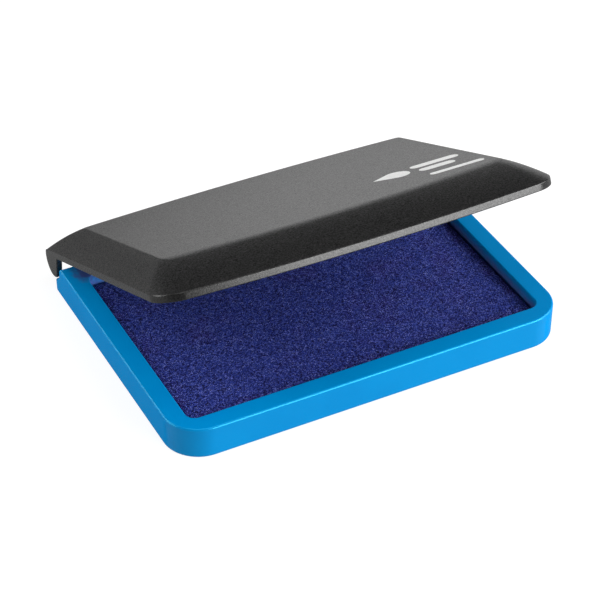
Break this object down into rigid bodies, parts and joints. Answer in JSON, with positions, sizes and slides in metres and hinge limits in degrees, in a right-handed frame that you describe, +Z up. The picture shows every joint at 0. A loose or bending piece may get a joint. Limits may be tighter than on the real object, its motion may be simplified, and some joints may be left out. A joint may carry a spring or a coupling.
{
  "type": "ink pad",
  "caption": "Flat rectangular plastic-cased ink pad: a shallow tray holds a cloth-covered felt pad under a hipped lid that hinges along the back edge.",
  "frame": {"origin": "on the tray's flat underside, midway between the sides and midway along the raised part of the tray", "axes": "+X to the right along the hinge, +Y towards the hinge at the back, +Z up"},
  "size_m": [0.0996, 0.0782, 0.0428],
  "materials": {
    "blue_plastic": "satin moulded bright blue plastic",
    "grey_plastic": "fine-grained moulded dark grey plastic",
    "white_plastic": "smooth white plastic",
    "inked_felt": "pressed felt soaked with blue ink",
    "inked_cloth": "fine woven cloth wet with blue-violet ink",
    "pin_steel": "drawn steel wire"
  },
  "bodies": {
    "base": {"base_tray": "blue_plastic", "pad_carrier": "white_plastic", "felt_core": "inked_felt", "pad_cloth": "inked_cloth", "hinge_pin_left": "pin_steel", "hinge_pin_right": "pin_steel"},
    "lid": {"lid_shell": "grey_plastic"}
  },
  "joints": [
    {"name": "lid_hinge", "type": "hinge", "parent": "base", "child": "lid", "pos_m": [0, 0.0394, 0.0079], "axis": [-1, 0, 0], "range_deg": [-25, 155]}
  ]
}
